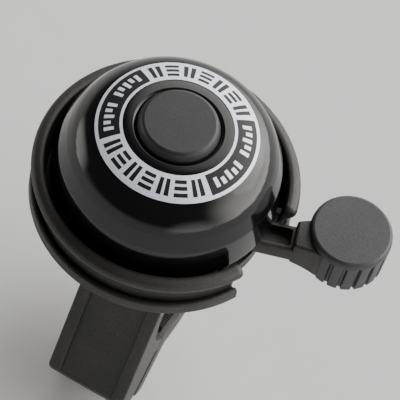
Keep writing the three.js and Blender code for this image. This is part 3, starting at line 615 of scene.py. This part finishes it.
def through(points, steps=6):
    """A smooth line through points, with steps between each pair."""
    line = []
    ends = [points[0]] + points + [points[-1]]
    for i in range(1, len(ends) - 2):
        p, q, r, s = (Vector(ends[i + k]) for k in (-1, 0, 1, 2))
        for step in range(steps):
            u = step / steps
            line.append(tuple(0.5 * (2 * q + (r - p) * u + (2 * p - 5 * q + 4 * r - s) * u ** 2
                                     + (3 * q - p - 3 * r + s) * u ** 3)))
    return line + [points[-1]]


CREASE = (16.48, 15.75)
crown = [(7.1, 21.28), (8.6, 21.1), (10.8, 20.5), (12.75, 19.65), (14.3, 18.7), (15.6, 17.3), CREASE]
crown = [point + (0.4,) for point in through(crown)[:-1]]
under = [
    (16.6, 12.8), (15.4, 15.15), (14.6, 16.6), (13.55, 17.85), (12.3, 18.85), (10.45, 19.65), (8.1, 20.2),
]
dome = lathe("dome_shell", fillet(
    [(2.1, 18.6, 0), (6.4, 18.6, 0.2), (6.62, 18.9, 0.2), (6.62, 21.12, 0.2)] + crown + [
        CREASE + (1.6,), (17.55, 13, 2.2), (18.2, 7.6, 1), (18.25, 7.05, 0.15), (18.05, 6.9, 0.1),
        (17.4, 6.9, 0.1),
    ] + [point + (0.5,) for point in through(under)] + [
        (7.9, 20, 0.2), (7.9, 18, 0.2), (7.6, 17.7, 0.2), (2.1, 17.7, 0)], 0.3, 6), 320)
settle(dome, enamel, "base", "gloss_black", "dome")

# ---- the printed ring ------------------------------------------------------------------------
# A ring of silver foil hot-stamped on the crown, overprinted in black. Two black
# panels carry small pale ticks, and two silver runs carry heavy black bars.

# Hot-stamped foil is bright but broken up by the paint under it, so it reads as a
# pale satin grey. Its flecks are about 0.1 mm; they are drawn at 0.3 mm.
foil, tree, shader = new_material("hot_stamped_foil_silver", Metallic=0.15, Roughness=0.4)
place = add_node(tree, "TexCoord").outputs["Object"]
fleck = add_node(tree, "TexNoise", {"Vector": place, "Scale": 1 / (0.3 * MM), "Detail": 3}).outputs["Fac"]
surface(tree, shader, fleck, "#d6daea", "#eceff8", (0.3, 0.7), (0.36, 0.5), (fleck, 0.01, 0.4))

# Screen ink dries to a flat satin black, a little greyer than the enamel round it, and
# is mottled every 0.5 mm where the mesh laid it down.
ink, tree, shader = new_material("screen_ink_black", IOR=1.48, Specular_IOR_Level=0.3)
place = add_node(tree, "TexCoord").outputs["Object"]
film = add_node(tree, "TexNoise", {"Vector": place, "Scale": 1 / (0.5 * MM), "Detail": 4}).outputs["Fac"]
surface(tree, shader, film, "#0c0c0e", "#151618", dull=(0.42, 0.56))

RING_IN, RING_OUT = 8.66, 12.74
PANELS = [(148, 221.7), (-35.3, 43.3)]
RUNS = [(43.3, 148), (221.7, 324.7)]
marks = []                       # (from degrees, to degrees, inner radius, outer radius, is ink)
for start, end in PANELS:
    marks.append((start, end, 9.1, 12.25, True))
    tick = (end - start - 9) / 11
    for i in (0, 1, 2, 3, 4, 6, 7, 8, 9, 10):
        at = start + 4.5 + tick * (i + 0.5)
        marks.append((at - tick * 0.28, at + tick * 0.28, 9.95 + 0.45 * (i % 2), 11.45, False))
for start, end in RUNS:
    step = (end - start - 5) / 7
    for i in range(7):
        at = start + 2.5 + step * i
        if i % 2:
            marks += [(at + step * 0.12, at + step * 0.88, low, low + 0.58, True)
                      for low in (9.4, 10.38, 11.36)]
        else:
            marks += [(at + step * low, at + step * (low + 0.26), 9.4, 11.94, True) for low in (0.16, 0.58)]


def is_ink(degrees, radius):
    """Later marks are printed over earlier ones."""
    inked = False
    for start, end, low, high, dark in marks:
        if (degrees - start) % 360 < end - start and low < radius < high:
            inked = dark
    return inked


around = {round(edge % 360, 4) for mark in marks for edge in mark[:2]}
around = sorted(around | {i * 2.5 for i in range(144)})
outward = {edge for mark in marks for edge in mark[2:4]}
outward = sorted(outward | {RING_IN, RING_OUT, 8.9, 9.8, 10.8, 11.7, 12.5})


def crown_height(radius):
    """The crown's height at a radius, read off its outline."""
    for inner, outer in zip(crown, crown[1:]):
        if inner[0] <= radius <= outer[0]:
            share = (radius - inner[0]) / (outer[0] - inner[0])
            return inner[1] + (outer[1] - inner[1]) * share
    return crown[-1][1]


points, faces = [], []
rows = [(r, 0.05) for r in outward] + [(r, 0.11) for r in reversed(outward)]
for degrees in around:
    for radius, lift in rows:
        x, y = polar(radius, degrees)
        points.append((x, y, BASE_Z + crown_height(radius) + lift))
for i in range(len(around)):
    here, there = i * len(rows), (i + 1) % len(around) * len(rows)
    for j in range(len(rows)):
        k = (j + 1) % len(rows)
        faces.append((here + j, there + j, there + k, here + k))
ring = build("printed_ring", points, faces)
settle(ring, foil, "base", "printed_foil", "label_ring")
ring.data.materials.append(ink)
for face in ring.data.polygons:
    middle = face.center / MM
    degrees = math.degrees(math.atan2(middle.y, middle.x))
    face.material_index = int(is_ink(degrees, math.hypot(middle.x, middle.y)))

# ---- the cap ---------------------------------------------------------------------------------
# A satin black button, moulded in ABS, snaps into the dimple in the crown and hides
# the nut. Its side leans in to a flat top, and a thin gap runs round its foot.

# Moulded against a blasted tool, so that it has a soft even sheen. The blast texture
# is about 0.05 mm; it is drawn at 0.25 mm.
satin_abs = moulded_plastic("abs_moulded_satin", "#131416", "#1e1f22", 0.46, 0.25, 0.03)
cap = lathe("cap_button", fillet([
    (5.2, 18.7, 0), (6.4, 18.7, 0.15), (6.5, 20.9, 0.4), (6.42, 21.4, 0.5), (6.14, 22.1, 0.5),
    (5.86, 22.58, 0.3), (5.5, 22.7, 0.4), (0, 22.7, 0), (0, 22.05, 0), (4.9, 22.05, 0.2), (5.2, 21.7, 0.2),
], 0.15, 6), 160)
settle(cap, satin_abs, "base", "satin_plastic", "cap")

# ---- the lever -------------------------------------------------------------------------------
# One nylon moulding: a hub on the pivot pin, an arm out through the gap in the rim, a
# neck that rises to the knob's boss, and a lug inside that carries the hammer.

KNOB = Vector((29.6, 6.7))
ARM, HAMMER = 19, 115.5          # directions from the pivot, in degrees
ARM_LOW, ARM_TOP, HALF_ARM = 3.1, 6.3, 2.35
NECK_LOW, NECK_TOP = 1.4, 7.9
arm_out, arm_side = polar(1, ARM), polar(1, ARM + 90)


def on_arm(along, aside):
    """A place seen from above, along the arm from the pivot and aside of its middle."""
    return tuple(PIVOT + arm_out * along + arm_side * aside)


def on_hammer(along, aside, h):
    """A place measured from the pivot, along and aside of the hammer's leaf."""
    x, y = PIVOT + polar(1, HAMMER) * along + polar(1, HAMMER + 90) * aside
    return x, y, h + BASE_Z


lever = lathe("lever_moulding", fillet([(0, ARM_LOW, 0), (3.5, ARM_LOW), (3.5, 8), (0, 8, 0)], 0.3),
              72, *PIVOT)
arm_outline = [on_arm(*corner) for corner in rectangle(0, 17, -HALF_ARM, HALF_ARM)]
arm = prism("arm", arm_outline, ARM_LOW, ARM_TOP, upright, 0.45)
neck = prism("neck", fillet([
    on_arm(15.1, -HALF_ARM) + (0.5,), on_arm(18.5, -2.75) + (4,), on_arm(22, -3.35) + (2,),
    on_arm(23.5, 2.1) + (0,), on_arm(20.5, 6) + (2,), on_arm(17.5, 3.25) + (2.5,),
    on_arm(15.1, HALF_ARM) + (0.5,),
], 0.5, 8), NECK_LOW, NECK_TOP, upright, 0.45)
curve = [(14 + 6 * i / 12, ARM_LOW - (ARM_LOW - NECK_LOW) * (i / 12) ** 2) for i in range(13)]
under_neck = prism("cut", [(14, 0.4)] + curve + [(20, 0.4)], -10, 10,
                   lambda a, b, h: (*on_arm(a, h), b + BASE_Z), 0)
combine(neck, [under_neck], "DIFFERENCE")
boss = lathe("boss", fillet([(0, NECK_LOW, 0), (4.9, NECK_LOW), (4.9, NECK_TOP), (0, NECK_TOP, 0)], 0.25),
             80, *KNOB)
lug = prism("lug", fillet(rectangle(3.1, 7.4, -2.48, -0.28), 0.3), ARM_LOW, 10.1, on_hammer, 0.2)
combine(lever, [arm, neck, boss, lug])
channel = fillet([on_arm(*corner) for corner in rectangle(4.9, 14.7, -1.55, 1.55)], 0.4)
combine(lever, [
    prism("cut", channel, 4.7, 7.3, upright, 0),
    lathe("cut", rectangle(1.5, 3.7, 8, 14), 64, *PIVOT),
    bore(1.56, 0, 12, *PIVOT),
], "DIFFERENCE")
settle(lever, matt_nylon, "lever", "moulded_plastic", "lever")

# ---- the thumb knob --------------------------------------------------------------------------
# A satin ABS button pressed onto the lever's boss. Eighteen narrow slots round its
# side leave flats for the thumb to grip, and stop below its rounded top edge.

# The knob is the same satin ABS as the cap, its grain a little smoother, but its colour is
# painted paler than the cap's: a lit copy, painted light for the light that falls on the raised knob.
knob_abs_painted_lighter = moulded_plastic("abs_moulded_satin_painted_lighter", "#28292c", "#363739", 0.47, 0.28, 0.03)
FLUTES = 18
KNOB_R = 6.6
SLOT_HALF, SLOT_DEPTH = 0.36, 0.5
profile = fillet([
    (0, 1, 0), (5.9, 1, 0.4), (6.5, 1.5, 0.6), (KNOB_R, 8, 0.8), (6.5, 8.65, 0.5), (6.3, 8.98, 0.3),
    (6, 9.1, 0.3), (0, 9.1, 0),
], 0.4, 6)
fine = [profile[0]]
for start, end in zip(profile, profile[1:]):
    pieces = max(1, round(math.dist(start, end) / 0.5)) if min(start[0], end[0]) > 5 else 1
    fine += [(start[0] + (end[0] - start[0]) * i / pieces, start[1] + (end[1] - start[1]) * i / pieces)
             for i in range(1, pieces + 1)]


def slot_depth(share, h):
    """How far a slot cuts in: flat-bottomed, and running out below the top edge."""
    from_middle = abs(share - 0.5) * 2 * math.pi * KNOB_R / FLUTES
    wall = min(1, max(0, (SLOT_HALF - from_middle) / 0.12))
    fade = min(1, max(0, (7.75 - h) / 0.5))
    return SLOT_DEPTH * wall * math.sqrt(fade)


points, faces = [], []
shares = [0, 0.2, 0.32, 0.355, 0.385, 0.415, 0.445, 0.5, 0.555, 0.585, 0.615, 0.645, 0.68, 0.8]
turns = [(flute + share) / FLUTES * 2 * math.pi for flute in range(FLUTES) for share in shares]
for index, turn in enumerate(turns):
    share = shares[index % len(shares)]
    for r, h in fine:
        near = r - (slot_depth(share, h) if r > 5.5 and h < 8 else 0)
        points.append((KNOB.x + near * math.cos(turn), KNOB.y + near * math.sin(turn), BASE_Z + h))
for i in range(len(turns)):
    here, there = i * len(fine), (i + 1) % len(turns) * len(fine)
    for j in range(len(fine) - 1):
        faces.append((here + j, there + j, there + j + 1, here + j + 1))
knob = build("thumb_knob_fluted", points, faces)
neck_room = prism("cut", [
    on_arm(15, -2.45), on_arm(18.5, -2.85), on_arm(22, -3.45), on_arm(23.5, 2.1), on_arm(20.5, 6.1),
    on_arm(17.5, 3.35), on_arm(15, 2.45),
], 0, 8, upright, 0)
combine(knob, [bore(5, 0, 8, *KNOB, 80), neck_room], "DIFFERENCE")
settle(knob, knob_abs_painted_lighter, "lever", "satin_plastic", "thumb_knob")

# ---- pivot pin, washer and clip --------------------------------------------------------------
# The lever turns on a plated pin pressed into the cup's floor. A washer and a snap
# ring in the pin's groove keep the lever and the spring down on it.

pivot_pin = lathe("pivot_pin_turned", fillet([
    (0, 1.95, 0), (1.48, 1.95, 0.1), (1.48, 11.7, 0.05), (1.05, 11.7, 0.05), (1.05, 12.3, 0.05),
    (1.48, 12.3, 0.05), (1.48, 12.6, 0.2), (1.15, 12.9, 0.1), (0, 12.9, 0),
], 0.1), 48, *PIVOT)
settle(pivot_pin, zinc_plate, "base", "zinc_steel", "lever_pin")
pin_washer = lathe("pin_washer_stamped", fillet(rectangle(1.56, 3.3, 11.15, 11.65), 0.12), 64, *PIVOT)
settle(pin_washer, zinc_plate, "base", "zinc_steel", "lever_washer")

# Spring steel is left as drawn or rolled: darker than zinc, brown in the hollows, with
# fine die lines about 0.03 mm apart, drawn here as streaks at 0.15 mm.
spring_steel, tree, shader = new_material("spring_steel_drawn_oiled", Metallic=1.0)
place = add_node(tree, "TexCoord").outputs["Object"]
lines = add_node(tree, "TexNoise", {
    "Vector": add_node(tree, "Mapping", {"Vector": place, "Scale": (1, 1, 12)}).outputs["Vector"],
    "Scale": 1 / (1.8 * MM), "Detail": 4,
}).outputs["Fac"]
surface(tree, shader, lines, "#5e5a55", "#94928f", (0.3, 0.65), (0.2, 0.42), (lines, 0.01, 0.6))

clip = lathe("snap_ring", fillet(rectangle(1.1, 3, 11.75, 12.25), 0.1), 64, *PIVOT)
gap = prism("cut", rectangle(-4.4, -0.4, -0.85, 0.85), 10, 14, upright, 0)
turn = Matrix.Rotation(math.radians(40), 4, "Z")
gap.data.transform(Matrix.Translation((PIVOT.x * MM, PIVOT.y * MM, 0)) @ turn)
combine(clip, [gap], "DIFFERENCE")
settle(clip, spring_steel, "base", "spring_steel", "lever_clip")

# ---- return spring ---------------------------------------------------------------------------
# Over two turns of 0.6 mm spring wire round the pin. The lower leg pushes the lever's
# lug, the upper leg bears on the post, and the coil winds up as the lever swings.

COIL_R, WIRE_R, COIL_LOW, COIL_TOP = 2.85, 0.3, 8.45, 10.75


def tube(name, path, radius, sides=12):
    """A round wire along a path, closed at both ends."""
    path = [Vector(point) for point in path]
    points, faces = [], []
    normal = Vector((0, 0, 1))
    for i, at in enumerate(path):
        ahead = (path[min(i + 1, len(path) - 1)] - path[max(i - 1, 0)]).normalized()
        normal = (normal - ahead * normal.dot(ahead)).normalized()
        aside = ahead.cross(normal)
        for side in range(sides):
            turn = 2 * math.pi * side / sides
            points.append(tuple(at + (normal * math.cos(turn) + aside * math.sin(turn)) * radius))
    for i in range(len(path) - 1):
        here, there = i * sides, (i + 1) * sides
        for side in range(sides):
            after = (side + 1) % sides
            faces.append((here + side, here + after, there + after, there + side))
    faces += [tuple(range(sides)), tuple(range(there, there + sides))]
    return build(name, points, faces)


SLEEVE_R = 3.2
lug_side = HAMMER - 90
to_post = -PIVOT
lean = math.degrees(math.asin((SLEEVE_R + WIRE_R + 0.12 - COIL_R) / to_post.length))
post_leg = math.degrees(math.atan2(to_post.y, to_post.x)) + lean
winding = (lug_side - post_leg - 90) % 360 + 720
lug_start = PIVOT + polar(COIL_R, lug_side)
path = [(*(lug_start + polar(0.8 * step, HAMMER)), BASE_Z + COIL_LOW) for step in range(8, 0, -1)]
COIL_STEPS = 132
for i in range(COIL_STEPS + 1):
    x, y = PIVOT + polar(COIL_R, lug_side - winding * i / COIL_STEPS)
    path.append((x, y, BASE_Z + COIL_LOW + (COIL_TOP - COIL_LOW) * i / COIL_STEPS))
coil_end = Vector(path[-1][:2])
for along in (1, 2, 3.5, 5, 6.5, 8, 10, 11.5):
    path.append((*(coil_end + polar(1, post_leg) * along), BASE_Z + COIL_TOP))
spring = tube("return_spring_coil", path, WIRE_R)
settle(spring, spring_steel, None, "spring_steel", "return_spring")
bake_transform(spring)

# ---- the hammer ------------------------------------------------------------------------------
# A strip of 0.5 mm spring steel riveted to the lever's lug, with a turned steel
# striker on its free end. The leaf whips the striker at the dome.

STRIKER_AT = 14.4
LUG_END = 7.4
leaf = prism("hammer_strip", fillet(rectangle(3.7, STRIKER_AT, 6.9, 10.1), 0.3), -0.25, 0.25,
             lambda a, b, h: on_hammer(a, h, b), 0.06)
body = bmesh.new()
body.from_mesh(leaf.data)
for cut in range(8):
    bmesh.ops.bisect_plane(body, geom=body.verts[:] + body.edges[:] + body.faces[:],
                           plane_co=Vector(on_hammer(LUG_END + 0.8 * cut, 0, 8)) * MM,
                           plane_no=(*polar(1, HAMMER), 0))
body.to_mesh(leaf.data)
body.free()
settle(leaf, spring_steel, None, "spring_steel", "hammer_leaf")
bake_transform(leaf)

for index, at in enumerate((4.7, 6.6)):
    rivet = lathe(f"leaf_rivet_headed_{index + 1}", fillet([
        (0, -2.93, 0), (0.46, -2.93, 0.2), (0.5, -2.53, 0.05), (0.4, -2.53, 0.02), (0.4, 0.3, 0.02),
        (0.65, 0.3, 0.05), (0.5, 0.7, 0.25), (0, 0.7, 0),
    ], 0.1), 32, z=0)
    reshape(rivet, lambda a, b, h, at=at: on_hammer(at + a, h, 9.4 + b))
    settle(rivet, zinc_plate, "lever", "zinc_steel", f"leaf_rivet_{index + 1}")

slug = lathe("striker_slug", fillet([
    (0, 6.2, 0), (1.2, 6.35, 0.3), (1.65, 6.9, 0.4), (1.8, 7.5, 0.5), (1.8, 9.5, 0.5), (1.65, 10.1, 0.4),
    (1.2, 10.65, 0.3), (0, 10.8, 0),
], 0.3), 72, *(PIVOT + polar(STRIKER_AT, HAMMER)))
leaf_slot = prism("cut", rectangle(12.6, STRIKER_AT, -0.3, 0.3), 6.85, 10.15, on_hammer, 0)
combine(slug, [leaf_slot], "DIFFERENCE")
settle(slug, zinc_plate, "hammer", "zinc_steel", "striker")

# ---- studio ----------------------------------------------------------------------------------
# A plain pale floor under the bell, in a room that is bright at the horizon and dim
# above. Four soft glows round the room slide along the dome's gloss, and one wide lamp
# lights the back right.

FLOOR_HALF = 1500
square = rectangle(-FLOOR_HALF, FLOOR_HALF, -FLOOR_HALF, FLOOR_HALF)
floor = build("studio_floor", [(*corner, CAD_BOX[0].z / MM) for corner in square], [(0, 1, 2, 3)])

# Matt paper is pale and even, with faint clouds of fibre 4 mm across.
paper, tree, shader = new_material("backdrop_paper_matt", Roughness=0.8, IOR=1.4)
place = add_node(tree, "TexCoord").outputs["Object"]
fibre = add_node(tree, "TexNoise", {"Vector": place, "Scale": 1 / (4 * MM), "Detail": 5}).outputs["Fac"]
surface(tree, shader, fibre, "#d2d2d3", "#d8d8d9")
floor.data.materials.append(paper)


def aim(turn, lift):
    """A direction from its angle round from +X and its angle above the floor."""
    flat = polar(math.cos(math.radians(lift)), turn)
    return Vector((flat.x, flat.y, math.sin(math.radians(lift))))


world = bpy.data.worlds.new("studio_room")
bpy.context.scene.world = world
world.use_nodes = True
room = world.node_tree
look = add_node(room, "TexCoord").outputs["Generated"]
room.nodes["Background"].inputs["Color"].default_value = linear("#fffdfa")
rise = add_node(room, "SeparateXYZ", {"Vector": look}).outputs["Z"]
total = add_node(room, "MapRange", {
    "Value": rise, "From Min": 0, "From Max": 0.28, "To Min": 0.85, "To Max": 0.12,
}, interpolation_type="SMOOTHSTEP").outputs["Result"]
GLOWS = [                        # (direction, lift, full within, gone beyond, strength)
    (30, 14, 8, 55, 5.5),
    (188, 4, 3, 24, 2.6),
    (84, 31, 8, 42, 4.2),
    (-38, 3, 3, 26, 1.6),
]
for turn, lift, inner, outer, strength in GLOWS:
    facing = add_node(room, "VectorMath", {0: look, 1: aim(turn, lift)}, operation="DOT_PRODUCT")
    glow = add_node(room, "MapRange", {
        "Value": facing.outputs["Value"], "From Min": math.cos(math.radians(outer)),
        "From Max": math.cos(math.radians(inner)), "To Min": 0, "To Max": strength,
    }, interpolation_type="SMOOTHSTEP")
    total = add_node(room, "Math", {0: glow.outputs["Result"], 1: total}, operation="ADD").outputs[0]
room.links.new(total, room.nodes["Background"].inputs["Strength"])

lamp = bpy.data.lights.new("key_box", "AREA")
lamp.shape = "RECTANGLE"
lamp.size, lamp.size_y, lamp.energy = 500 * MM, 350 * MM, 0.8
holder = bpy.data.objects.new("key_box", lamp)
bpy.context.scene.collection.objects.link(holder)
towards = aim(45, 35)
holder.location = (Vector((0, 0, 25)) + towards * 700) * MM
holder.rotation_euler = towards.to_track_quat("Z", "Y").to_euler()

# The bell is seen from above its near side. LEAN rolls the view, and SHIFT moves the
# bell to its place in the frame.
VIEW, LIFT, LEAN, DISTANCE = -75, 57.67, 16.5, 397.5
SHIFT = (6.403, -0.231)
turn = aim(VIEW, LIFT).to_track_quat("Z", "Y").to_matrix() @ Matrix.Rotation(math.radians(LEAN), 3, "Z")
lens = bpy.data.cameras.new("camera")
lens.lens, lens.sensor_width, lens.clip_start = 225, 36, 0.01
camera = bpy.data.objects.new("camera", lens)
bpy.context.scene.collection.objects.link(camera)
place = Vector((0, 0, BASE_Z)) + turn @ Vector((*SHIFT, DISTANCE))
camera.matrix_world = Matrix.Translation(place * MM) @ turn.to_4x4()
bpy.context.scene.camera = camera
